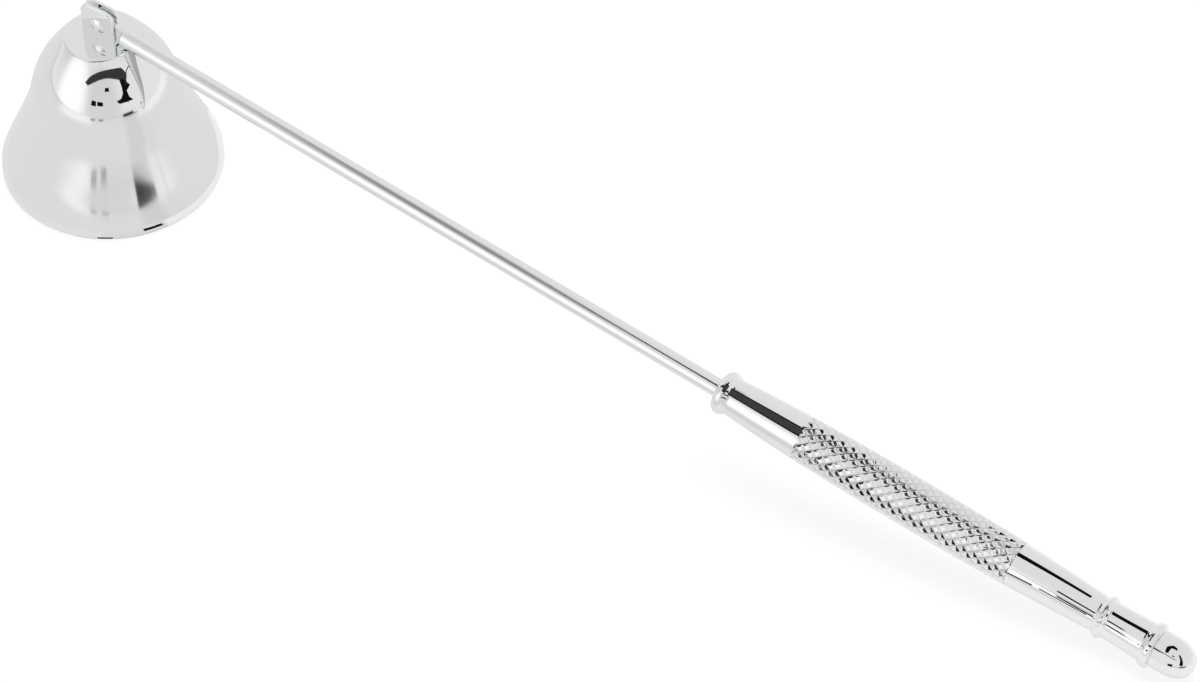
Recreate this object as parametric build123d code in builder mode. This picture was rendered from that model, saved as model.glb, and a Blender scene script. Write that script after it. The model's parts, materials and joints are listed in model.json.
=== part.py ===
from build123d import *
from math import asin, atan2, cos, hypot, radians, sin
import os

# A candle snuffer, lying as it rests on a table: the bell stands on its mouth and the end
# ring of the handle touches the table. +Z is up, +X points from the bell to the handle's
# end, and the origin is on the table under the middle of the whole length.

# Fits
running_gap = 0.05
pin_gap = 0.02
cut_overrun = 1.0

# Bell, a spun cup whose outline runs from the lip to the flat on its crown
mouth_radius = 22.5
bell_height = 35.4
bell_wall = 0.9
lip_wall = 1.5
lip_height = 2.3
lip_lean = 0.2
lip_round = 0.4
crown_side_angle = 45.0
crown_round = 1.2
# Each pair is a share of the mouth's radius and a share of the bell's height
bell_outline_shares = (
    (0.929, 0.170), (0.851, 0.282), (0.778, 0.396), (0.712, 0.508),
    (0.669, 0.621), (0.613, 0.734), (0.533, 0.830), (0.434, 0.920), (0.329, 1.000),
)

# Hinge: a slotted lug on the crown, with a rivet through it along Y
lug_length = 7.7
lug_thickness = 2.45
lug_rise = 4.58
lug_floor = 0.5
tongue_room = 0.52
lug_corner = 1.8
lug_edge = 0.15
tongue_thickness = 0.9
tongue_end_radius = 2.3
tongue_length = 5.4
shoulder_radius = 1.1
shoulder_length = 0.7
rivet_radius = 0.9
rivet_head_radius = 1.7
rivet_head_height = 0.6
burr_radius = 1.6
burr_thickness = 0.35
set_head_radius = 1.25
set_head_height = 0.45

# Stud under the lug, with its washer and nut inside the bell
stud_radius = 1.2
stud_tail = 0.5
washer_radius = 2.7
washer_thickness = 0.4
nut_across_flats = 4.5
nut_thickness = 1.8
nut_chamfer = 0.2

# Rod, from the hinge to its threaded end inside the finial
rod_radius = 1.85
rod_reach = 146.4
thread_radius = 1.5
thread_length = 5.6
stop_pin_radius = 0.6
stop_pin_length = 5.2
stop_pin_room = 0.3

# Handle pieces in their order along the rod
front_ring_width = 3.4
front_ring_radius = 4.4
front_ring_round = 1.65
front_sleeve_length = 15.6
front_sleeve_start_radius = 3.7
front_sleeve_middle_radius = 4.18
sleeve_end_radius = 4.5
grip_length = 47.4
grip_end_radius = 4.4
grip_middle_radius = 4.7
rear_sleeve_length = 18.2
rear_sleeve_middle_radius = 4.14
rear_sleeve_end_radius = 3.66
rear_ring_width = 2.8
rear_ring_radius = 4.42
neck_length = 7.2
neck_start_radius = 3.73
neck_end_radius = 3.96
end_ring_width = 2.6
end_ring_radius = 4.65
end_ring_flare_length = 1.7
end_ring_rear_round = 0.3
lock_washer_radius = 2.9
lock_washer_thickness = 0.8
finial_radius = 3.85
finial_side_length = 4.1
finial_edge = 0.25
finial_hole_spare = 0.4

# The tongue clears the slot's floor, and that gives the hinge its height
slot_floor_height = bell_height + lug_floor
hinge_height = slot_floor_height + tongue_room + tongue_end_radius
lug_top = hinge_height + lug_rise

# Places along the rod, counted from the hinge
front_ring_end = rod_reach + front_ring_width
front_sleeve_end = front_ring_end + front_sleeve_length
grip_end = front_sleeve_end + grip_length
rear_sleeve_end = grip_end + rear_sleeve_length
rear_ring_end = rear_sleeve_end + rear_ring_width
neck_end = rear_ring_end + neck_length
end_ring_end = neck_end + end_ring_width
finial_side_end = end_ring_end + finial_side_length
lock_washer_start = end_ring_end - lock_washer_thickness
thread_end = lock_washer_start + thread_length
stop_pin_place = front_ring_end + stop_pin_radius

# The rod slopes down until the rounded rear edge of the end ring touches the table
rest_place = end_ring_end - end_ring_rear_round
rest_radius = end_ring_radius - end_ring_rear_round
rest_drop = hinge_height - end_ring_rear_round
slope = asin(rest_drop / hypot(rest_place, rest_radius)) - atan2(rest_radius, rest_place)

# The bell stands as far behind the origin as the finial's tip lies in front of it
reach_past_bell = finial_side_end * cos(slope) + finial_radius
bell_x = (mouth_radius - reach_past_bell) / 2

# In the upright planes a sketch's X runs along the piece and its Y is a height or a radius
hinge_point = (bell_x, 0, hinge_height)
bell_plane = Plane((bell_x, 0, 0), x_dir=(1, 0, 0), z_dir=(0, -1, 0))
bell_axis = Axis((bell_x, 0, 0), (0, 0, 1))
hinge_plane = Plane(hinge_point, x_dir=(1, 0, 0), z_dir=(0, -1, 0))
rivet_plane = Plane(hinge_point, x_dir=(0, 1, 0), z_dir=(1, 0, 0))
rivet_axis = Axis(hinge_point, (0, 1, 0))
rod_plane = Plane(hinge_point, x_dir=(cos(slope), 0, -sin(slope)), z_dir=(0, -1, 0))
rod_axis = Axis(hinge_point, (cos(slope), 0, -sin(slope)))

# Sizes that follow from the fits
bore_radius = rod_radius + running_gap
stud_hole_radius = stud_radius + running_gap
slot_width = tongue_thickness + 2 * running_gap
under_crown_height = bell_height - bell_wall
under_washer_height = under_crown_height - washer_thickness
stud_length = bell_wall + washer_thickness + nut_thickness + stud_tail
pin_room_radius = stop_pin_length / 2 + stop_pin_room


def bell_side(radius, height, start):
    """The bell's outline from a start on the lip to the rim of the flat crown."""
    points = [(share_r * radius, share_z * height) for share_r, share_z in bell_outline_shares]
    lean = (points[0][0] - start[0], points[0][1] - start[1])
    crown_lean = (-cos(radians(crown_side_angle)), sin(radians(crown_side_angle)))
    return Spline([start, *points], tangents=[lean, crown_lean])


def sleeve_on_rod(start, end, start_radius, middle_radius, end_radius):
    """A sleeve on the rod whose side is one long arc."""
    with BuildPart() as sleeve:
        with BuildSketch(rod_plane):
            with BuildLine():
                side = ThreePointArc(
                    (start, start_radius), ((start + end) / 2, middle_radius), (end, end_radius)
                )
                Polyline(side @ 1, (end, bore_radius), (start, bore_radius), side @ 0)
            make_face()
        revolve(axis=rod_axis)
    return sleeve


def cove(start, end):
    """A curve that runs from one level along the rod into another without a corner."""
    return Spline([start, end], tangents=[(1, 0), (1, 0)])


# The bell: a thin wall with a thicker lip, and a flat crown with a rounded rim
with BuildPart() as bell_shell:
    with BuildSketch(bell_plane) as section:
        with BuildLine():
            outer = bell_side(mouth_radius, bell_height, (mouth_radius - lip_lean, lip_height))
            inner = bell_side(
                mouth_radius - bell_wall, under_crown_height, (mouth_radius - lip_wall, lip_height)
            )
            Polyline(outer @ 1, (stud_hole_radius, bell_height),
                     (stud_hole_radius, under_crown_height), inner @ 1)
            Polyline(outer @ 0, (mouth_radius, lip_height / 2), (mouth_radius, 0),
                     (mouth_radius - lip_wall, 0), inner @ 0)
        make_face()
        rims = [section.vertices().sort_by_distance(side @ 1)[0] for side in (outer, inner)]
        fillet(rims, crown_round)
    revolve(axis=bell_axis)
    fillet(bell_shell.edges().filter_by(GeomType.CIRCLE).group_by(Axis.Z)[0], lip_round)
bell_shell.part.label = "bell_shell"

# The lug: two ears round a slot for the rod's tongue, on a stud that goes through the crown
with BuildPart() as hinge_lug:
    with BuildSketch(hinge_plane):
        with Locations((0, (bell_height + lug_top) / 2 - hinge_height)):
            Rectangle(lug_length, lug_top - bell_height)
    extrude(amount=lug_thickness / 2, both=True)
    fillet(hinge_lug.edges().filter_by(Axis.Y).group_by(Axis.Z)[-1], lug_corner)
    with BuildSketch(Plane.XY.offset(slot_floor_height)):
        with Locations((bell_x, 0)):
            Rectangle(lug_length + 2 * cut_overrun, slot_width)
    extrude(amount=lug_top - slot_floor_height + cut_overrun, mode=Mode.SUBTRACT)
    sides = hinge_lug.faces().filter_by(Axis.Y).sort_by(Axis.Y)
    for side in (sides[0], sides[-1]):
        chamfer(side.edges().sort_by(Axis.Z)[1:], lug_edge)
    with BuildSketch(hinge_plane):
        Circle(rivet_radius + pin_gap)
    extrude(amount=lug_thickness, both=True, mode=Mode.SUBTRACT)
    with BuildSketch(Plane.XY.offset(bell_height)):
        with Locations((bell_x, 0)):
            Circle(stud_radius)
    extrude(amount=-stud_length)
hinge_lug.part.label = "hinge_lug"

with BuildPart() as lug_washer:
    with BuildSketch(Plane.XY.offset(under_crown_height)):
        with Locations((bell_x, 0)):
            Circle(washer_radius)
            Circle(stud_hole_radius, mode=Mode.SUBTRACT)
    extrude(amount=-washer_thickness)
lug_washer.part.label = "lug_washer"

with BuildPart() as lug_nut:
    with BuildSketch(Plane.XY.offset(under_washer_height)):
        with Locations((bell_x, 0)):
            RegularPolygon(nut_across_flats / 2, 6, major_radius=False)
    extrude(amount=-nut_thickness)
    chamfer(lug_nut.edges().group_by(Axis.Z)[0], nut_chamfer)
    with BuildSketch(Plane.XY.offset(under_washer_height)):
        with Locations((bell_x, 0)):
            Circle(stud_radius + pin_gap)
    extrude(amount=-nut_thickness, mode=Mode.SUBTRACT)
lug_nut.part.label = "lug_nut"

# The rivet: a low domed head on the near ear, and a smaller head set over the burr
near_side = -lug_thickness / 2
far_side = lug_thickness / 2 + burr_thickness
with BuildPart() as hinge_rivet:
    with BuildSketch(rivet_plane):
        with BuildLine():
            head = TangentArc(
                (near_side - rivet_head_height, 0), (near_side, rivet_head_radius), tangent=(0, 1)
            )
            set_head = TangentArc(
                (far_side + set_head_height, 0), (far_side, set_head_radius), tangent=(0, 1)
            )
            Polyline(head @ 0, set_head @ 0)
            Polyline(head @ 1, (near_side, rivet_radius), (far_side, rivet_radius), set_head @ 1)
        make_face()
    revolve(axis=rivet_axis)
hinge_rivet.part.label = "hinge_rivet"

with BuildPart() as rivet_burr:
    with BuildSketch(hinge_plane.offset(-far_side)):
        Circle(burr_radius)
        Circle(rivet_radius + pin_gap, mode=Mode.SUBTRACT)
    extrude(amount=burr_thickness)
rivet_burr.part.label = "rivet_burr"

# The rod: a flat tongue in the lug's slot, a rounded shoulder, and a thread at the far end
with BuildPart() as rod:
    with BuildSketch(rod_plane):
        Circle(tongue_end_radius)
        with BuildLine():
            Polyline((0, tongue_end_radius), (tongue_length + shoulder_length, rod_radius),
                     (tongue_length + shoulder_length, -rod_radius), (0, -tongue_end_radius),
                     close=True)
        make_face()
        Circle(rivet_radius + running_gap, mode=Mode.SUBTRACT)
    extrude(amount=tongue_thickness / 2, both=True)
    with BuildSketch(rod_plane):
        with BuildLine():
            shoulder = TangentArc(
                (tongue_length + shoulder_length, rod_radius), (tongue_length, shoulder_radius),
                tangent=(-1, 0),
            )
            Polyline(
                shoulder @ 0, (lock_washer_start, rod_radius), (lock_washer_start, thread_radius),
                (thread_end, thread_radius), (thread_end, 0), (tongue_length, 0), shoulder @ 1,
            )
        make_face()
    revolve(axis=rod_axis)
    with BuildSketch(rod_plane):
        with Locations((stop_pin_place, 0)):
            Circle(stop_pin_radius + pin_gap)
    extrude(amount=rod_radius + cut_overrun, both=True, mode=Mode.SUBTRACT)
rod.part.label = "rod"

# The cross pin through the rod that the sleeves are drawn up against
with BuildPart() as stop_pin:
    with BuildSketch(rod_plane):
        with Locations((stop_pin_place, 0)):
            Circle(stop_pin_radius)
    extrude(amount=stop_pin_length / 2, both=True)
stop_pin.part.label = "stop_pin"

# Each ring swells out of the pieces beside it in smooth coves
with BuildPart() as front_ring:
    with BuildSketch(rod_plane):
        with BuildLine():
            face = TangentArc(
                (rod_reach, front_ring_radius - front_ring_round),
                (rod_reach + front_ring_round, front_ring_radius), tangent=(0, 1),
            )
            side = cove(face @ 1, (front_ring_end, front_sleeve_start_radius))
            Polyline(side @ 1, (front_ring_end, bore_radius), (rod_reach, bore_radius), face @ 0)
        make_face()
    revolve(axis=rod_axis)
front_ring.part.label = "front_ring"

# The front sleeve has a recess in its face for the cross pin
with BuildPart() as front_sleeve:
    with BuildSketch(rod_plane):
        with BuildLine():
            side = ThreePointArc(
                (front_ring_end, front_sleeve_start_radius),
                ((front_ring_end + front_sleeve_end) / 2, front_sleeve_middle_radius),
                (front_sleeve_end, sleeve_end_radius),
            )
            Polyline(
                side @ 1, (front_sleeve_end, bore_radius),
                (front_ring_end + 2 * stop_pin_radius, bore_radius),
                (front_ring_end + 2 * stop_pin_radius, pin_room_radius),
                (front_ring_end, pin_room_radius), side @ 0,
            )
        make_face()
    revolve(axis=rod_axis)
front_sleeve.part.label = "front_sleeve"

knurled_grip = sleeve_on_rod(
    front_sleeve_end, grip_end, grip_end_radius, grip_middle_radius, grip_end_radius
)
knurled_grip.part.label = "knurled_grip"

rear_sleeve = sleeve_on_rod(
    grip_end, rear_sleeve_end, sleeve_end_radius, rear_sleeve_middle_radius, rear_sleeve_end_radius
)
rear_sleeve.part.label = "rear_sleeve"

with BuildPart() as rear_ring:
    with BuildSketch(rod_plane):
        with BuildLine():
            rise = cove(
                (rear_sleeve_end, rear_sleeve_end_radius),
                ((rear_sleeve_end + rear_ring_end) / 2, rear_ring_radius),
            )
            fall = cove(rise @ 1, (rear_ring_end, neck_start_radius))
            Polyline(fall @ 1, (rear_ring_end, bore_radius), (rear_sleeve_end, bore_radius),
                     rise @ 0)
        make_face()
    revolve(axis=rod_axis)
rear_ring.part.label = "rear_ring"

neck = sleeve_on_rod(
    rear_ring_end, neck_end, neck_start_radius,
    (neck_start_radius + neck_end_radius) / 2 - running_gap, neck_end_radius,
)
neck.part.label = "neck"

# The end ring flares to the edge on which the handle rests, round a recess for a lock washer
with BuildPart() as end_ring:
    with BuildSketch(rod_plane):
        with BuildLine():
            flare = cove(
                (neck_end, neck_end_radius), (neck_end + end_ring_flare_length, end_ring_radius)
            )
            edge = TangentArc(
                (end_ring_end - end_ring_rear_round, end_ring_radius),
                (end_ring_end, end_ring_radius - end_ring_rear_round), tangent=(1, 0),
            )
            Line(flare @ 1, edge @ 0)
            Polyline(
                edge @ 1, (end_ring_end, lock_washer_radius + running_gap),
                (lock_washer_start, lock_washer_radius + running_gap),
                (lock_washer_start, bore_radius), (neck_end, bore_radius), flare @ 0,
            )
        make_face()
    revolve(axis=rod_axis)
end_ring.part.label = "end_ring"

with BuildPart() as lock_washer:
    with BuildSketch(rod_plane):
        with BuildLine():
            Polyline((lock_washer_start, thread_radius + running_gap),
                     (lock_washer_start, lock_washer_radius), (end_ring_end, lock_washer_radius),
                     (end_ring_end, thread_radius + running_gap), close=True)
        make_face()
    revolve(axis=rod_axis)
lock_washer.part.label = "lock_washer"

# The finial: a domed cap nut that screws on the rod's end and holds the handle together
with BuildPart() as finial:
    with BuildSketch(rod_plane):
        with BuildLine():
            dome = CenterArc((finial_side_end, 0), finial_radius, 0, 90)
            Polyline(
                dome @ 1, (end_ring_end + finial_edge, finial_radius),
                (end_ring_end, finial_radius - finial_edge),
                (end_ring_end, thread_radius + pin_gap),
                (thread_end + finial_hole_spare, thread_radius + pin_gap),
                (thread_end + finial_hole_spare, 0), dome @ 0,
            )
        make_face()
    revolve(axis=rod_axis)
finial.part.label = "finial"

pieces = (
    bell_shell, hinge_lug, lug_washer, lug_nut, hinge_rivet, rivet_burr, rod, stop_pin, front_ring,
    front_sleeve, knurled_grip, rear_sleeve, rear_ring, neck, end_ring, lock_washer, finial,
)
os.makedirs("parts", exist_ok=True)
for piece in pieces:
    export_step(piece.part, f"parts/{piece.part.label}.step")
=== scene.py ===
"""A candle snuffer in polished chrome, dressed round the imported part.

The turned pieces are spun here as smooth meshes on the part's own axes, the grip gets its
real diamond knurl, and the small hinge parts keep the part's solids with a finish on them.
"""
import json
import math

import bmesh
import bpy
import numpy as np
from bpy.props import FloatProperty, FloatVectorProperty, IntProperty, StringProperty
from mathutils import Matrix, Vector


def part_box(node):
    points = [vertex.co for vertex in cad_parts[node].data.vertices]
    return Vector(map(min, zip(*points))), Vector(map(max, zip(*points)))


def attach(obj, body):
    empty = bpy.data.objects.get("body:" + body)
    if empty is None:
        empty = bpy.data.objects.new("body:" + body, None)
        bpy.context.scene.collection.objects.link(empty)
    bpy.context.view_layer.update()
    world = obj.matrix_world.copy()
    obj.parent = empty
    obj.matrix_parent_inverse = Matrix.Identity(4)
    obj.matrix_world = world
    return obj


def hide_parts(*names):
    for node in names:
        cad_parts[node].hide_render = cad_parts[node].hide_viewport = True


bl_info = {
    "name": "Candle Snuffer",
    "version": (1, 0, 0),
    "blender": (4, 5, 0),
    "location": "View3D > Sidebar > Snuffer",
    "description": "Finishes, knurled grip and studio for a chrome candle snuffer",
    "category": "Object",
}

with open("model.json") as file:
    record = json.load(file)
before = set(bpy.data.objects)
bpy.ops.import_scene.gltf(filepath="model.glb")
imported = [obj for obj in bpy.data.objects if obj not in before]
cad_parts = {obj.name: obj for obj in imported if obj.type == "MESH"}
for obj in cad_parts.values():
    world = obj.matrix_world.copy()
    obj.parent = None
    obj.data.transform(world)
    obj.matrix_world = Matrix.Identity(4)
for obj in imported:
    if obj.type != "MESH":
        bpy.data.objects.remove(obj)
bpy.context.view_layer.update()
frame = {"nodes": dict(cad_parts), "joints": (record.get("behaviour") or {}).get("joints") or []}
MM = 0.001

# The bell stands round an upright line through the hinge, and the handle lies along a sloping
# one. From here on, sizes and places are in millimetres unless a line says otherwise.
BELL_LOW, BELL_HIGH = (np.array(corner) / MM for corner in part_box("bell_shell"))
MOUTH_RADIUS = (BELL_HIGH[0] - BELL_LOW[0]) / 2
BELL_HEIGHT = BELL_HIGH[2]
BELL_AXIS = ((BELL_HIGH[0] + BELL_LOW[0]) / 2, 0.0)
HINGE = np.array([*BELL_AXIS, frame["joints"][0]["pos_m"][2] / MM])
SLOPE = math.radians(8.05997)
ALONG_ROD = np.array([math.cos(SLOPE), 0.0, -math.sin(SLOPE)])
SIDE_OF_ROD = np.array([0.0, 1.0, 0.0])
ABOVE_ROD = np.array([math.sin(SLOPE), 0.0, math.cos(SLOPE)])

# Radius of the bore through the handle's turned pieces
BORE_RADIUS = 1.9

# The bell's outline as shares of the mouth's radius and of the bell's height, lip to crown
BELL_SHARES = ((0.9288, 0.1695), (0.8514, 0.2825), (0.7774, 0.3955), (0.7128, 0.5085),
               (0.6685, 0.6215), (0.6126, 0.7345), (0.533, 0.830), (0.434, 0.920), (0.329, 1.0))

# Tone of a black card as polished metal shows it
BLACK = 0.004


def linear(hex_colour):
    """An sRGB hex colour such as #F0F1F1 as linear red, green, blue and alpha."""
    channels = [int(hex_colour[i:i + 2], 16) / 255 for i in (1, 3, 5)]
    return [c / 12.92 if c <= 0.04045 else ((c + 0.055) / 1.055) ** 2.4 for c in channels] + [1.0]


def add_node(tree, kind, settings=None, inputs=None):
    """Adds a node, sets its attributes, and sets or links its input sockets."""
    node = tree.nodes.new(kind)
    for name, value in (settings or {}).items():
        setattr(node, name, value)
    for name, value in (inputs or {}).items():
        if isinstance(value, bpy.types.NodeSocket):
            tree.links.new(value, node.inputs[name])
        else:
            node.inputs[name].default_value = value
    return node


def new_material(name):
    """An empty material with nodes, and its output node."""
    material = bpy.data.materials.new(name)
    material.use_nodes = True
    material.node_tree.nodes.clear()
    return material, add_node(material.node_tree, "ShaderNodeOutputMaterial")


def mesh_object(name, vertices, faces, smooth=True):
    """A mesh object made from lists of vertices and faces, in metres."""
    mesh = bpy.data.meshes.new(name)
    mesh.from_pydata([tuple(v) for v in vertices], [], faces)
    mesh.validate()
    if smooth:
        mesh.shade_smooth()
        mesh.set_sharp_from_angle(angle=math.radians(32))
    obj = bpy.data.objects.new(name, mesh)
    bpy.context.scene.collection.objects.link(obj)
    return obj


def smooth_line(points, start_lean, end_lean, count):
    """A cubic spline through points in a plane, with given leans at its two ends."""
    p = np.array(points, float)
    t = np.concatenate(([0], np.cumsum(np.hypot(*np.diff(p, axis=0).T))))
    h = np.diff(t)[:, None]
    n = len(p)
    ends = [np.array(lean, float) / np.hypot(*lean) for lean in (start_lean, end_lean)]
    system = np.zeros((n, n))
    right = np.zeros((n, 2))
    system[0, 0] = system[-1, -1] = 1
    right[0], right[-1] = ends
    for i in range(1, n - 1):
        before, after = h[i - 1, 0], h[i, 0]
        system[i, i - 1:i + 2] = after, 2 * (before + after), before
        right[i] = 3 * (after * (p[i] - p[i - 1]) / before + before * (p[i + 1] - p[i]) / after)
    lean = np.linalg.solve(system, right)
    out = []
    for u in np.linspace(0, t[-1], count):
        i = min(int(np.searchsorted(t, u, side="right")) - 1, n - 2)
        w, step = (u - t[i]) / h[i, 0], h[i, 0]
        out.append((2 * w**3 - 3 * w**2 + 1) * p[i] + (w**3 - 2 * w**2 + w) * step * lean[i]
                   + (3 * w**2 - 2 * w**3) * p[i + 1] + (w**3 - w**2) * step * lean[i + 1])
    return [tuple(q) for q in out]


def arc(centre, radius, start, end, count):
    """Points on an arc in a plane, from one angle to another in degrees."""
    angles = np.radians(np.linspace(start, end, count))
    return [(centre[0] + radius * math.cos(a), centre[1] + radius * math.sin(a)) for a in angles]


def cove(start, end, count=14):
    """A curve that runs from one level along the rod into another without a corner."""
    return smooth_line([start, end], (1, 0), (1, 0), count)


def spin(name, outline, place, round_count=128, closed=True):
    """Spins an outline of (along, radius) pairs in millimetres into a mesh on a line.

    place gives a point of the mesh, in millimetres, for along, sideways and up.
    """
    points = [outline[0]]
    for q in outline[1:]:
        if math.hypot(q[0] - points[-1][0], q[1] - points[-1][1]) > 1e-5:
            points.append(q)
    vertices, rings = [], []
    for along, radius in points:
        if radius < 1e-6:
            rings.append([len(vertices)])
            vertices.append(place(along, 0, 0))
            continue
        rings.append(list(range(len(vertices), len(vertices) + round_count)))
        for k in range(round_count):
            a = 2 * math.pi * k / round_count
            vertices.append(place(along, radius * math.sin(a), radius * math.cos(a)))
    faces = []
    pairs = list(zip(rings, rings[1:])) + ([(rings[-1], rings[0])] if closed else [])
    for one, other in pairs:
        for k in range(round_count):
            j = (k + 1) % round_count
            if len(one) == 1 and len(other) > 1:
                faces.append((one[0], other[j], other[k]))
            elif len(other) == 1 and len(one) > 1:
                faces.append((one[k], one[j], other[0]))
            elif len(one) > 1:
                faces.append((one[k], one[j], other[j], other[k]))
    return mesh_object(name, [np.array(v) * MM for v in vertices], faces)


def towards(azimuth, elevation):
    """A unit vector for an azimuth and an elevation in degrees."""
    a, e = math.radians(azimuth), math.radians(elevation)
    return np.array([math.cos(e) * math.cos(a), math.cos(e) * math.sin(a), math.sin(e)])


def on_rod(along, side, up):
    """A point on the handle, counted along the rod from the hinge."""
    return HINGE + along * ALONG_ROD + side * SIDE_OF_ROD + up * ABOVE_ROD


def round_rod(along, radius, angle):
    """A point round the rod, with its angle in degrees from straight above to the camera."""
    a = math.radians(angle)
    return on_rod(along, -radius * math.sin(a), radius * math.cos(a))


def on_bell(height, side, up):
    """A point on the bell, for a height above the table."""
    return np.array([BELL_AXIS[0] + up, BELL_AXIS[1] + side, height])


def turned_ends(node):
    """The first and last (along, radius) of a turned node of the frame, along the rod."""
    points = np.array([tuple(v.co) for v in frame["nodes"][node].data.vertices]) / MM - HINGE
    along = points @ ALONG_ROD
    radius = np.hypot(points @ SIDE_OF_ROD, points @ ABOVE_ROD)
    edge = 0.01
    start, end = along.min(), along.max()
    return ((start, radius[along < start + edge].max()), (end, radius[along > end - edge].max()))


def dress(obj, material, body, slot, *nodes):
    """Gives a piece its material and body and hides the nodes it stands for; slot is not used."""
    obj.data.materials.append(material)
    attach(obj, body)
    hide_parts(*nodes)


def paint(node, material):
    """Gives a node of the frame one material in all its slots."""
    mesh = frame["nodes"][node].data
    mesh.materials.clear()
    mesh.materials.append(material)


class SnufferFinish(bpy.types.PropertyGroup):
    chrome: StringProperty(
        name="Chrome", description="Colour of the polished chrome plate, as sRGB hex",
        default="#F1F2F2")
    steel: StringProperty(
        name="Steel", description="Colour of the bare steel washers, nut and pin, as sRGB hex",
        default="#B9BABC")


class SnufferGrip(bpy.types.PropertyGroup):
    pitch: FloatProperty(
        name="Diamond length", description="Length of one diamond along the grip",
        default=2.345 * MM, unit="LENGTH")
    around: IntProperty(
        name="Diamonds round", description="Number of diamonds round the grip", default=15)
    depth: FloatProperty(
        name="Groove depth", description="Depth of the grooves between the diamonds",
        default=0.31 * MM, unit="LENGTH")


class SnufferStage(bpy.types.PropertyGroup):
    lens: FloatProperty(
        name="Lens", description="Focal length of the camera", default=159.98, unit="CAMERA")
    camera_place: FloatVectorProperty(
        name="Camera", description="Where the camera stands",
        default=(380.05 * MM, -580.65 * MM, 778.19 * MM), unit="LENGTH", subtype="XYZ")
    camera_forward: FloatVectorProperty(
        name="Camera direction", description="Direction in which the camera looks",
        default=(-0.36485, 0.56401, -0.74080), subtype="DIRECTION")


def plate_shader(tree, colour, roughness, spread, grain, lift):
    """Plated metal whose gloss wanders a little, with a faint waviness from the buffing wheel.

    spread is how far the roughness wanders, grain the size of the waves in millimetres, and
    lift their height in millimetres.
    """
    smear_width = 6
    place = add_node(tree, "ShaderNodeTexCoord").outputs["Object"]
    smears = add_node(tree, "ShaderNodeTexNoise", inputs={
        "Vector": place, "Scale": 1 / (smear_width * MM), "Detail": 3.0})
    worn = add_node(tree, "ShaderNodeMapRange", inputs={
        "Value": smears.outputs["Fac"], "From Min": 0.35, "From Max": 0.7,
        "To Min": -spread, "To Max": spread})
    gloss = add_node(tree, "ShaderNodeMath", {"operation": "ADD", "use_clamp": True}, {
        0: roughness, 1: worn.outputs["Result"]})
    waves = add_node(tree, "ShaderNodeTexNoise", inputs={
        "Vector": place, "Scale": 1 / (grain * MM), "Detail": 2.0})
    bump = add_node(tree, "ShaderNodeBump", inputs={
        "Height": waves.outputs["Fac"], "Strength": 1.0, "Distance": lift * MM})
    return add_node(tree, "ShaderNodeBsdfPrincipled", inputs={
        "Base Color": linear(colour), "Metallic": 1.0, "Roughness": gloss.outputs[0],
        "Normal": bump.outputs["Normal"]})


def chrome_plate(name, colour, roughness, lift=0.001):
    """Chrome plate, buffed to a mirror: the eye sees only the room in it, a little uneven."""
    material, output = new_material(name)
    shader = plate_shader(material.node_tree, colour, roughness, 0.015, 2.5, lift)
    material.node_tree.links.new(shader.outputs["BSDF"], output.inputs["Surface"])
    return material


def bell_plate(name, colour):
    """Chrome plate on a spun cup: a mirror on the crown that turns satin towards the lip."""
    material, output = new_material(name)
    tree = material.node_tree
    place = add_node(tree, "ShaderNodeTexCoord")
    parts = add_node(tree, "ShaderNodeSeparateXYZ", inputs={"Vector": place.outputs["Object"]})
    satin = add_node(tree, "ShaderNodeMapRange", {"interpolation_type": "SMOOTHSTEP"}, {
        "Value": parts.outputs["Z"], "From Min": 26.4 * MM, "From Max": 28.1 * MM,
        "To Min": 0.09, "To Max": 0.025})
    shader = plate_shader(tree, colour, satin.outputs["Result"], 0.01, 5.0, 0.001)
    tree.links.new(shader.outputs["BSDF"], output.inputs["Surface"])
    return material


def hinge_plate(name, colour):
    """Chrome plate with painted shade, a near-black tint, in its corners and seams."""
    material, output = new_material(name)
    tree = material.node_tree
    shader = plate_shader(tree, colour, 0.05, 0.02, 1.5, 0.001)
    # Painted shade: ambient occlusion darkens the plate to near black in corners and seams, where
    # less light reaches.
    corner = add_node(tree, "ShaderNodeAmbientOcclusion", {"samples": 8}, {
        "Distance": 0.7 * MM})
    painted_corner_shade = add_node(tree, "ShaderNodeMapRange", {"interpolation_type": "SMOOTHSTEP"}, {
        "Value": corner.outputs["AO"], "From Min": 0.45, "From Max": 0.75})
    # Low at the lug's foot the painted shade is left out.
    place = add_node(tree, "ShaderNodeTexCoord")
    parts = add_node(tree, "ShaderNodeSeparateXYZ", inputs={"Vector": place.outputs["Object"]})
    foot = add_node(tree, "ShaderNodeMapRange", inputs={
        "Value": parts.outputs["Z"], "From Min": 36.6 * MM, "From Max": 36.1 * MM})
    unshaded_share = add_node(tree, "ShaderNodeMath", {"operation": "MAXIMUM"}, {
        0: painted_corner_shade.outputs["Result"], 1: foot.outputs["Result"]})
    tint = add_node(tree, "ShaderNodeMix", {"data_type": "RGBA"}, {
        0: unshaded_share.outputs[0], 6: linear("#1B1B1B"), 7: linear(colour)})
    tree.links.new(tint.outputs[2], shader.inputs["Base Color"])
    tree.links.new(shader.outputs["BSDF"], output.inputs["Surface"])
    return material


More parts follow.
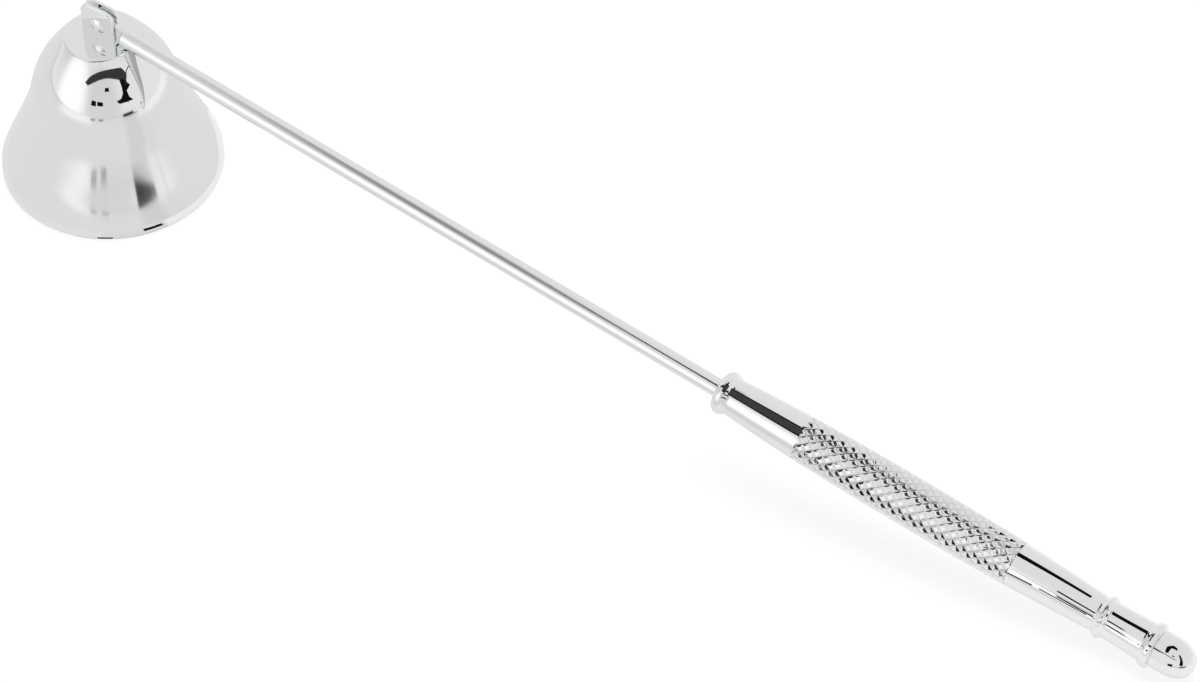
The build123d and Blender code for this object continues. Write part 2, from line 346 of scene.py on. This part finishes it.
def knurl_plate(name, colour, roughness):
    """Chrome plate over a knurl: bright facets, with painted shade down in the grooves."""
    material, output = new_material(name)
    tree = material.node_tree
    shader = plate_shader(tree, colour, roughness, 0.02, 0.4, 0.014)
    # Painted shade: ambient occlusion tints the plate grey down in the grooves.
    groove = add_node(tree, "ShaderNodeAmbientOcclusion", {"samples": 8}, {
        "Distance": 0.5 * MM})
    painted_groove_shade = add_node(tree, "ShaderNodeMapRange", {"interpolation_type": "SMOOTHSTEP"}, {
        "Value": groove.outputs["AO"], "From Min": 0.55, "From Max": 0.9})
    tint = add_node(tree, "ShaderNodeMix", {"data_type": "RGBA"}, {
        0: painted_groove_shade.outputs["Result"], 6: linear("#BDBEBF"), 7: linear(colour)})
    tree.links.new(tint.outputs[2], shader.inputs["Base Color"])
    tree.links.new(shader.outputs["BSDF"], output.inputs["Surface"])
    return material


def turned_steel(name, colour):
    """Bare steel off the lathe: fine turning marks and a duller gloss than the plate."""
    material, output = new_material(name)
    shader = plate_shader(material.node_tree, colour, 0.26, 0.05, 0.25, 0.004)
    material.node_tree.links.new(shader.outputs["BSDF"], output.inputs["Surface"])
    return material


def glow_material(name, grey):
    """A plain card that metal mirrors, with one even tone."""
    material, output = new_material(name)
    tree = material.node_tree
    glow = add_node(tree, "ShaderNodeEmission", inputs={
        "Color": (1, 1, 1, 1), "Strength": grey})
    tree.links.new(glow.outputs[0], output.inputs["Surface"])
    return material


def card(name, corners, faces, grey):
    """A studio card that only polished metal shows."""
    obj = mesh_object(name, [np.array(c) * MM for c in corners], faces, False)
    obj.data.materials.append(glow_material(name, grey))
    obj.visible_camera = False
    obj.visible_diffuse = False
    obj.visible_shadow = False


def flat_card(name, corners, grey):
    """A card with one face."""
    card(name, corners, [tuple(range(len(corners)))], grey)


def far_card(name, directions, grey):
    """A card four metres off, outlined by the directions in which the crown sees it.

    Each direction is an azimuth and an elevation in degrees.
    """
    distance = 4000
    crown = np.array([*BELL_AXIS, 33.0])
    flat_card(name, [crown + distance * towards(*direction) for direction in directions], grey)


def ring_card(name, inner, outer, azimuths, grey, height=0.1):
    """A piece of a ring lying on the floor round the bell, with its azimuths in degrees."""
    first, last = azimuths
    step_angle = 4
    steps = max(2, round(abs(last - first) / step_angle))
    ring = []
    for radius, a, b in ((inner, first, last), (outer, last, first)):
        for i in range(steps + 1):
            x, y, _ = radius * towards(a + (b - a) * i / steps, 0)
            ring.append((BELL_AXIS[0] + x, BELL_AXIS[1] + y, height))
    flat_card(name, ring, grey)


def finial_card(name, radius, directions, grey):
    """A card on a ball round the finial's dome.

    Each direction is a lean away from the bell and an angle round the handle, in degrees,
    counted from straight above towards the camera.
    """
    dome_middle = 247.7
    corners = []
    for lean, angle in directions:
        a = math.radians(lean)
        corners.append(round_rod(dome_middle + radius * math.sin(a), radius * math.cos(a), angle))
    flat_card(name, corners, grey)


def handle_card(name, stations, spread, grey):
    """A card bent round the handle on a cone from the hinge, so that the bell sees its edge.

    Each station is a place along the rod and two angles round it in degrees, counted from
    straight above towards the camera. spread is the cone's radius as a share of that place.
    """
    vertices, faces = [], []
    steps = 6
    for along, first, last in stations:
        for i in range(steps + 1):
            angle = first + (last - first) * i / steps
            vertices.append(round_rod(along, spread * along, angle))
    for i in range(len(stations) - 1):
        for k in range(steps):
            one = i * (steps + 1) + k
            faces.append((one, one + 1, one + steps + 2, one + steps + 1))
    card(name, vertices, faces, grey)


def window(tree, direction, azimuth, elevation, inner, outer, gain):
    """How far a direction lies in a soft round window: gain inside it, and 0 outside.

    The window's middle is an azimuth and an elevation, and it fades between the angles inner
    and outer from there, all in degrees.
    """
    nearness = add_node(tree, "ShaderNodeVectorMath", {"operation": "DOT_PRODUCT"}, {
        0: direction, 1: tuple(towards(azimuth, elevation))})
    return add_node(tree, "ShaderNodeMapRange", {"interpolation_type": "SMOOTHSTEP"}, {
        "Value": nearness.outputs["Value"], "From Min": math.cos(math.radians(outer)),
        "From Max": math.cos(math.radians(inner)), "To Max": gain}).outputs["Result"]


def white_paper():
    """Matt white paper: it keeps the shadow, and metal sees it greyer, with painted shade round
    the bell.
    """
    material, output = new_material("white_paper_floor")
    tree = material.node_tree
    path = add_node(tree, "ShaderNodeLightPath")
    place = add_node(tree, "ShaderNodeTexCoord").outputs["Object"]
    bell_foot = (BELL_AXIS[0] * MM, BELL_AXIS[1] * MM, 0)
    away = add_node(tree, "ShaderNodeVectorMath", {"operation": "DISTANCE"}, {
        0: place, 1: bell_foot}).outputs["Value"]
    out = add_node(tree, "ShaderNodeVectorMath", {"operation": "SUBTRACT"}, {
        0: place, 1: bell_foot}).outputs[0]
    out = add_node(tree, "ShaderNodeVectorMath", {"operation": "NORMALIZE"}, {0: out}).outputs[0]
    # Metal sees the paper grey round the bell, a painted shade of the bell. Each stretch of paper
    # lies towards an azimuth, fades between two angles from it, comes in between two distances in
    # metres from the bell, and makes the paper paler or greyer: the first two paler farther off,
    # the third a narrow greyer streak
    grey = 0.71
    for azimuth, inner, outer, first, last, gain in (
            (-99, 12, 30, 0.10, 0.22, 0.26), (25, 18, 45, 0.09, 0.20, 0.20),
            (-21, 3, 13, 0.02, 0.05, -0.10)):
        beside = window(tree, out, azimuth, 0, inner, outer, 1.0)
        beyond = add_node(tree, "ShaderNodeMapRange", {"interpolation_type": "SMOOTHSTEP"}, {
            "Value": away, "From Min": first, "From Max": last}).outputs["Result"]
        both = add_node(tree, "ShaderNodeMath", {"operation": "MULTIPLY"}, {
            0: beside, 1: beyond})
        grey = add_node(tree, "ShaderNodeMath", {"operation": "MULTIPLY_ADD"}, {
            0: both.outputs[0], 1: gain, 2: grey}).outputs[0]
    tone = add_node(tree, "ShaderNodeMix", {"data_type": "FLOAT"}, {
        0: path.outputs["Is Glossy Ray"], 2: 1.0, 3: grey})
    sees = add_node(tree, "ShaderNodeMath", {"operation": "MAXIMUM"}, {
        0: path.outputs["Is Camera Ray"], 1: path.outputs["Is Glossy Ray"]})
    # The rest of what the camera sees is lit by the lamps, and so keeps the shadow
    own_light = 0.85
    share = add_node(tree, "ShaderNodeMath", {"operation": "MULTIPLY"}, {
        0: sees.outputs[0], 1: own_light})
    paper = add_node(tree, "ShaderNodeBsdfDiffuse", inputs={"Color": linear("#F4F4F4")})
    glow = add_node(tree, "ShaderNodeEmission", inputs={
        "Color": (1, 1, 1, 1), "Strength": tone.outputs[0]})
    mix = add_node(tree, "ShaderNodeMixShader", inputs={
        0: share.outputs[0], 1: paper.outputs[0], 2: glow.outputs[0]})
    tree.links.new(mix.outputs[0], output.inputs["Surface"])
    return material


def studio_room():
    """A world that is white to the camera, and to metal a pale tent, brighter at one side."""
    world = bpy.data.worlds.new("studio")
    world.use_nodes = True
    tree = world.node_tree
    tree.nodes.clear()
    path = add_node(tree, "ShaderNodeLightPath")
    direction = add_node(tree, "ShaderNodeTexCoord").outputs["Generated"]
    parts = add_node(tree, "ShaderNodeSeparateXYZ", inputs={"Vector": direction})
    tent = add_node(tree, "ShaderNodeMapRange", inputs={
        "Value": parts.outputs["Z"], "From Min": 0.0, "From Max": 1.0,
        "To Min": 0.86, "To Max": 0.80}).outputs["Result"]
    for azimuth, elevation, inner, outer, gain in (
            (-112, 14, 6, 32, 0.30), (-160, 30, 6, 30, -0.18), (-58, 12, 14, 34, -0.12)):
        spot = window(tree, direction, azimuth, elevation, inner, outer, gain)
        tent = add_node(tree, "ShaderNodeMath", {"operation": "ADD"}, {
            0: tent, 1: spot}).outputs[0]
    to_camera, to_matt, to_metal = (
        add_node(tree, "ShaderNodeBackground", inputs={
            "Color": (1, 1, 1, 1), "Strength": strength}).outputs[0]
        for strength in (1.0, 0.6, tent))
    seen = add_node(tree, "ShaderNodeMixShader", inputs={
        0: path.outputs["Is Camera Ray"], 1: to_matt, 2: to_camera})
    mirrored = add_node(tree, "ShaderNodeMixShader", inputs={
        0: path.outputs["Is Glossy Ray"], 1: seen.outputs[0], 2: to_metal})
    add_node(tree, "ShaderNodeOutputWorld", inputs={"Surface": mirrored.outputs[0]})
    return world


def place_camera(scene):
    """The camera, where the photographer's stood."""
    stage = scene.snuffer_stage
    camera = bpy.data.objects.new("camera", bpy.data.cameras.new("camera"))
    scene.collection.objects.link(camera)
    camera.location = stage.camera_place
    camera.rotation_mode = "QUATERNION"
    camera.rotation_quaternion = Vector(stage.camera_forward).to_track_quat("-Z", "Y")
    camera.data.lens = stage.lens
    camera.data.sensor_width = 36
    camera.data.clip_start = 0.05
    camera.data.clip_end = 50
    scene.camera = camera


def hang_softbox(scene):
    """A wide lamp high behind the snuffer, which metal doesn't mirror. Its sizes are in metres."""
    lamp = bpy.data.lights.new("overhead_softbox", "AREA")
    lamp.shape = "RECTANGLE"
    lamp.size = 0.9
    lamp.size_y = 0.7
    lamp.energy = 11
    box = bpy.data.objects.new("overhead_softbox", lamp)
    box.location = (-0.1, 0.25, 1.0)
    box.rotation_mode = "QUATERNION"
    box.rotation_quaternion = (-box.location).to_track_quat("-Z", "Y")
    box.visible_glossy = False
    scene.collection.objects.link(box)


def hang_crown_cards():
    """What the crown mirrors: the dark gap in the tent, and the camera on its stand."""
    far_card("tent_gap", (
        (-92, 24), (-84, 27), (-74, 30), (-60, 33), (-45, 34), (-27, 33), (-11, 30),
        (-5, 25), (-9, 24), (-20, 26), (-33, 28), (-48, 29), (-66, 28), (-86, 24)), 0.041)
    far_card("camera_stand", (
        (-24, 29), (-9, 28), (-11, 24), (-6, 21), (-15, 20), (-14, 15), (-9, 11),
        (-19, 12), (-32, 13), (-36, 16), (-28, 17), (-23, 20), (-22, 24)), 0.006)
    far_card("stand_foot_left", ((-77, 12.5), (-76, 17), (-69, 17), (-69, 12.5)), BLACK)
    far_card("stand_foot_right", ((-67, 13), (-67, 17), (-58, 16.5), (-58, 13)), BLACK)
    far_card("lens", ((-54, 24), (-53, 26), (-46, 26), (-46, 24)), 0.006)


def lay_skirt_cards():
    """What the skirt and the lip mirror: a dark box on the table, paper tones, painted shade."""
    box_height, on_floor = 34, 0.1
    box_left, box_right = (366, -285), (450, -106)
    flat_card("dark_box", (
        (*box_left, 0), (*box_left, box_height), (*box_right, box_height), (*box_right, 0)), BLACK)
    flat_card("dark_box_foot", (
        (264, -212, on_floor), (308, -76, on_floor), (*box_right, on_floor),
        (*box_left, on_floor)), BLACK)
    ring_card("floor_spot_left", 300, 620, (-76, -70), 0.25)
    ring_card("floor_spot_right", 300, 620, (-65, -59), 0.25)
    # A grey strip just under the rod: painted shade of the rod's underside where the crown mirrors
    # the rod.
    half_width, under_rod = 1.0, -2.05
    flat_card("rod_shade", [on_rod(along, side, under_rod) for along, side in (
        (8, -half_width), (8, half_width), (145, half_width), (145, -half_width))], 0.42)
    ring_card("lip_surround", 22.6, 28, (-250, -60), 0.82)
    ring_card("lip_surround_right", 22.6, 28, (-24, 70), 0.93)
    # A near-black ring just under the lip's edge: painted contact shadow, as the lip's round
    # mirrors it.
    ring_card("lip_shade", 21.9, 22.5, (-75, 20), 0.01)
    above_paper = 0.15
    ring_card("lip_dash", 23.6, 25.4, (-37, -26), BLACK, above_paper)
    ring_card("lip_dash_small", 22.6, 23.0, (-62, -54), BLACK, above_paper)


def hang_handle_cards():
    """What the rod, sleeves, rings, neck and grip mirror: dark flags over and beside them."""
    handle_card("sleeve_flag_edge", ((143.5, -3, 40), (162.2, -3, 40)), 0.115, BLACK)
    handle_card("sleeve_flag", ((143.5, 3, 34), (162.2, 3, 34)), 0.112, 0.05)
    handle_card("rod_flag", ((112, 15, 18), (130, 10, 22), (143.4, 8, 25)), 0.115, 0.02)
    handle_card("rear_flag", ((211, -13, 5), (219, -18, -2), (228, -23.5, -9)), 0.07, BLACK)
    handle_card("rear_flag_low_1", ((211, 84, 90), (217, 77.5, 83.5)), 0.07, BLACK)
    handle_card("rear_flag_low_2", ((218.5, 76, 81), (229, 73.5, 79)), 0.07, BLACK)
    handle_card("neck_flag", ((231, -9, 9), (239, -12, 6)), 0.065, BLACK)
    handle_card("grip_flag", ((142.5, -16, 30), (194, -20, 24)), 0.6, 0.04)
    handle_card("upper_post", ((216, 43, 51), (314, 43, 51)), 0.47, BLACK)
    handle_card("lower_post", ((216, 68, 76), (314, 68, 76)), 0.47, BLACK)


def hang_overhead_cards():
    """What the rod mirrors from high above: a grey sheet that darkens towards its middle."""
    for number, (height, near, back, left, right, grey) in enumerate((
            (609, -540, 220, -260, -93, 0.68), (606, -440, 130, -200, -92, 0.48),
            (603, -340, 30, -170, -75, 0.28), (600, -200, -60, -80, -40, 0.12)), 1):
        flat_card(f"overhead_{number}", (
            (left, back, height), (left, near, height), (right, near, height),
            (right, back, height)), grey)


def hang_finial_cards():
    """What the finial mirrors: four black shapes on a pale ground, and a pale sheet behind."""
    finial_card("finial_shield", 12, (
        (-14, 45), (14, 45), (14, 69), (-1, 77), (-1, 96), (-14, 96), (-27, 74), (-27, 54)), 0.86)
    finial_card("finial_bar", 16, (
        (-12, 36), (-13, 21), (-13, 4), (-11, -9), (-8, -16), (2, -14), (6, -2), (-1, -1),
        (-8, 2), (-9, 17), (-9, 30)), BLACK)
    finial_card("finial_leg", 16, (
        (15, 12), (20, 8), (35, 22), (47, 46), (46, 63), (34, 62), (30, 35)), BLACK)
    finial_card("finial_dash", 16, ((0, 79), (13, 71), (14, 86), (2, 89)), BLACK)
    finial_card("finial_dot", 16, ((2, 28), (2, 35), (8, 37), (8, 30)), BLACK)
    middle, radius = np.array([132, 0, 4]), 75
    outline = [(azimuth, 22) for azimuth in range(-95, -80, 5)]
    outline += [(azimuth, 8) for azimuth in range(-80, 1, 5)]
    outline += [(azimuth, 38) for azimuth in range(0, -96, -5)]
    flat_card("white_flag", [middle + radius * towards(*edge) for edge in outline], 0.84)


class SNUFFER_OT_stage(bpy.types.Operator):
    """Makes the floor, the studio round the snuffer and the camera"""
    bl_idname = "snuffer.stage"
    bl_label = "Stage"

    def execute(self, context):
        scene = context.scene
        scene.view_settings.view_transform = "Standard"
        scene.world = studio_room()
        place_camera(scene)
        half = 6000
        floor = mesh_object("floor", [np.array(c) * MM for c in (
            (-half, -half, 0), (half, -half, 0), (half, half, 0), (-half, half, 0))],
            [(0, 1, 2, 3)], False)
        floor.data.materials.append(white_paper())
        hang_softbox(scene)
        hang_crown_cards()
        lay_skirt_cards()
        hang_handle_cards()
        hang_overhead_cards()
        hang_finial_cards()
        return {"FINISHED"}


def bell_side(radius, height, start, count):
    """The bell's outline from a start on the lip up to the rounded rim of the flat crown."""
    points = [(r * radius, z * height) for r, z in BELL_SHARES]
    lean = (points[0][0] - start[0], points[0][1] - start[1])
    line = smooth_line([start, *points], lean, (-1, 1), count)
    # The side meets the flat crown at 45 degrees, and the rim's round takes the corner away
    rim_round = 1.2
    cut_back = rim_round * math.tan(math.radians(45 / 2))
    corner = line[-1]
    line = [q for q in line if math.dist(q, corner) > cut_back + 0.1]
    return line + arc((corner[0] - cut_back, height - rim_round), rim_round, 45, 90, 12)


class SNUFFER_OT_bell(bpy.types.Operator):
    """Spins the bell and plates it"""
    bl_idname = "snuffer.bell"
    bl_label = "Bell"

    def execute(self, context):
        finish = context.scene.snuffer_finish
        wall, lip_wall, lip_height, lip_round = 0.9, 1.5, 2.3, 0.4
        stud_hole = 1.25
        inner_radius, under_crown = MOUTH_RADIUS - wall, BELL_HEIGHT - wall
        outer = bell_side(MOUTH_RADIUS, BELL_HEIGHT, (MOUTH_RADIUS - 0.09, lip_height), 150)
        inner = bell_side(inner_radius, under_crown, (inner_radius - 0.5, lip_height), 60)
        lip = arc((MOUTH_RADIUS - lip_round, lip_round), lip_round, -90, 0, 8)
        foot = arc((MOUTH_RADIUS - lip_wall + lip_round, lip_round), lip_round, 180, 270, 6)
        outline = [*lip, (MOUTH_RADIUS, lip_height / 2), *outer, (stud_hole, BELL_HEIGHT),
                   (stud_hole, under_crown), *reversed(inner), *foot]
        bell = spin("polished_bell", [(z, r) for r, z in outline], on_bell, 256)
        dress(bell, bell_plate("chrome_plate_bell", finish.chrome), "bell", "polished_steel",
              "bell_shell")
        return {"FINISHED"}


class SNUFFER_OT_hinge(bpy.types.Operator):
    """Plates the lug and rivet, and gives the washers, nut and pin their steel"""
    bl_idname = "snuffer.hinge"
    bl_label = "Hinge"

    def execute(self, context):
        finish = context.scene.snuffer_finish
        mirror = hinge_plate("chrome_plate_hinge", finish.chrome)
        steel = turned_steel("turned_steel", finish.steel)
        for node in ("hinge_lug", "hinge_rivet"):
            paint(node, mirror)
        for node in ("lug_washer", "lug_nut", "rivet_burr", "stop_pin", "lock_washer"):
            paint(node, steel)
        return {"FINISHED"}


def sleeve_side(node, middle_radius, start_rise, end_rise, count=40):
    """The side of a sleeve, a curve through its ends in the part and a middle radius.

    At each end it leans as if its radius rose by so much over half the sleeve's length.
    """
    start, end = turned_ends(node)
    half = (end[0] - start[0]) / 2
    middle = (start[0] + half, middle_radius)
    return smooth_line([start, middle, end], (half, start_rise), (half, end_rise), count)


def turned_piece(node, side, material):
    """One turned piece of the handle, with its side's outline and its bore."""
    outline = [*side, (side[-1][0], BORE_RADIUS), (side[0][0], BORE_RADIUS)]
    dress(spin(f"{node}_mesh", outline, on_rod), material, "handle", "polished_steel", node)


class SNUFFER_OT_handle(bpy.types.Operator):
    """Spins the sleeves, rings, neck and finial"""
    bl_idname = "snuffer.handle"
    bl_label = "Handle"

    def execute(self, context):
        finish = context.scene.snuffer_finish
        mirror = chrome_plate("chrome_plate_handle", finish.chrome, 0.03)
        paint("rod", chrome_plate("chrome_plate_rod", finish.chrome, 0.13))

        start, end = turned_ends("front_ring")
        ring_round = 1.65
        top = (start[0] + ring_round, start[1] + ring_round)
        face = arc((top[0], start[1]), ring_round, 180, 90, 20)
        turned_piece("front_ring", face + cove(top, end), mirror)
        turned_piece("front_sleeve", sleeve_side("front_sleeve", 4.18, 0.6, 0.2), mirror)
        turned_piece("rear_sleeve", sleeve_side("rear_sleeve", 4.14, -0.3, -0.55), mirror)

        start, end = turned_ends("rear_ring")
        top = ((start[0] + end[0]) / 2, 4.42)
        turned_piece("rear_ring", cove(start, top) + cove(top, end), mirror)
        turned_piece("neck", sleeve_side("neck", 3.795, 0.0, 0.2, 24), mirror)

        start, end = turned_ends("end_ring")
        flare_length, ring_radius, rear_round = 1.7, 4.65, 0.3
        side = cove(start, (start[0] + flare_length, ring_radius))
        side += arc((end[0] - rear_round, ring_radius - rear_round), rear_round, 90, 0, 8)
        turned_piece("end_ring", side, mirror)

        # The dome is a little fuller than an ellipse, which a fullness of 1 would give
        start, _ = turned_ends("finial")
        hole, radius, edge = 1.6, 3.85, 0.25
        side_length, dome_length, fullness = 2.6, 5.45, 0.88
        outline = [(start[0], hole), (start[0], radius - edge), (start[0] + edge, radius)]
        outline += [(start[0] + side_length + dome_length * x**fullness, radius * y**fullness)
                    for x, y in arc((0, 0), 1, 90, 0, 56)]
        finial = spin("finial_mesh", outline, on_rod, closed=False)
        dress(finial, mirror, "handle", "polished_steel", "finial")
        return {"FINISHED"}


class SNUFFER_OT_grip(bpy.types.Operator):
    """Cuts the diamond knurl of the grip"""
    bl_idname = "snuffer.grip"
    bl_label = "Grip"

    def execute(self, context):
        grip = context.scene.snuffer_grip
        finish = context.scene.snuffer_finish
        start, end = (place for place, _ in turned_ends("knurled_grip"))
        first_along, first_round = start + 3.55, 14.1
        half, depth = grip.pitch / MM / 2, grip.depth / MM
        turn = 180 / grip.around
        end_radius, bulge = 4.52, 0.31
        flat_share = 0.38
        mesh = bmesh.new()

        def vertex(m, j, below):
            """A vertex of the knurl, counted in half diamonds along and round the grip."""
            along = first_along + half * m
            middle = 1 - ((along - (start + end) / 2) / ((end - start) / 2)) ** 2
            radius = end_radius + bulge * middle - below
            return mesh.verts.new(round_rod(along, radius, first_round + turn * j) * MM)

        # Each diamond is a flat-topped pyramid. They reach past both ends and are cut off there.
        first = math.floor((start - first_along) / half) - 1
        last = math.ceil((end - first_along) / half) + 1
        valleys = {}
        for m in range(first, last + 1):
            for j in range(2 * grip.around):
                if (m + j) % 2:
                    continue
                ring = ((m - 1, j), (m, j - 1), (m + 1, j), (m, j + 1))
                low = []
                for q in ring:
                    key = (q[0], q[1] % (2 * grip.around))
                    if key not in valleys:
                        valleys[key] = vertex(*q, depth)
                    low.append(valleys[key])
                top = [vertex(m + flat_share * (q[0] - m), j + flat_share * (q[1] - j), 0)
                       for q in ring]
                mesh.faces.new(top)
                for k in range(4):
                    mesh.faces.new((low[k], low[(k + 1) % 4], top[(k + 1) % 4], top[k]))
        for along, lean in ((start, -1), (end, 1)):
            bmesh.ops.bisect_plane(
                mesh, geom=mesh.verts[:] + mesh.edges[:] + mesh.faces[:],
                plane_co=on_rod(along, 0, 0) * MM, plane_no=ALONG_ROD * lean, clear_outer=True)
        bmesh.ops.recalc_face_normals(mesh, faces=mesh.faces[:])
        knurl = bpy.data.objects.new("knurled_grip_mesh", bpy.data.meshes.new("knurled_grip_mesh"))
        mesh.to_mesh(knurl.data)
        mesh.free()
        context.scene.collection.objects.link(knurl)
        plate = knurl_plate("chrome_plate_knurl", finish.chrome, 0.06)
        dress(knurl, plate, "handle", "knurled_steel", "knurled_grip")
        return {"FINISHED"}


class SNUFFER_PT_panel(bpy.types.Panel):
    """Lists the steps that dress the snuffer"""
    bl_idname = "SNUFFER_PT_panel"
    bl_label = "Candle Snuffer"
    bl_space_type = "VIEW_3D"
    bl_region_type = "UI"
    bl_category = "Snuffer"

    def draw(self, context):
        column = self.layout.column()
        for operator in OPERATORS:
            column.operator(operator.bl_idname)


OPERATORS = (SNUFFER_OT_stage, SNUFFER_OT_bell, SNUFFER_OT_hinge, SNUFFER_OT_handle,
             SNUFFER_OT_grip)
GROUPS = {"snuffer_finish": SnufferFinish, "snuffer_grip": SnufferGrip,
          "snuffer_stage": SnufferStage}


def register():
    for cls in (*GROUPS.values(), *OPERATORS, SNUFFER_PT_panel):
        bpy.utils.register_class(cls)
    for name, group in GROUPS.items():
        setattr(bpy.types.Scene, name, bpy.props.PointerProperty(type=group))


def unregister():
    for name in GROUPS:
        delattr(bpy.types.Scene, name)
    for cls in reversed((*GROUPS.values(), *OPERATORS, SNUFFER_PT_panel)):
        bpy.utils.unregister_class(cls)


def main():
    register()
    bpy.ops.snuffer.stage()
    bpy.ops.snuffer.bell()
    bpy.ops.snuffer.hinge()
    bpy.ops.snuffer.handle()
    bpy.ops.snuffer.grip()


if __name__ == "__main__":
    main()
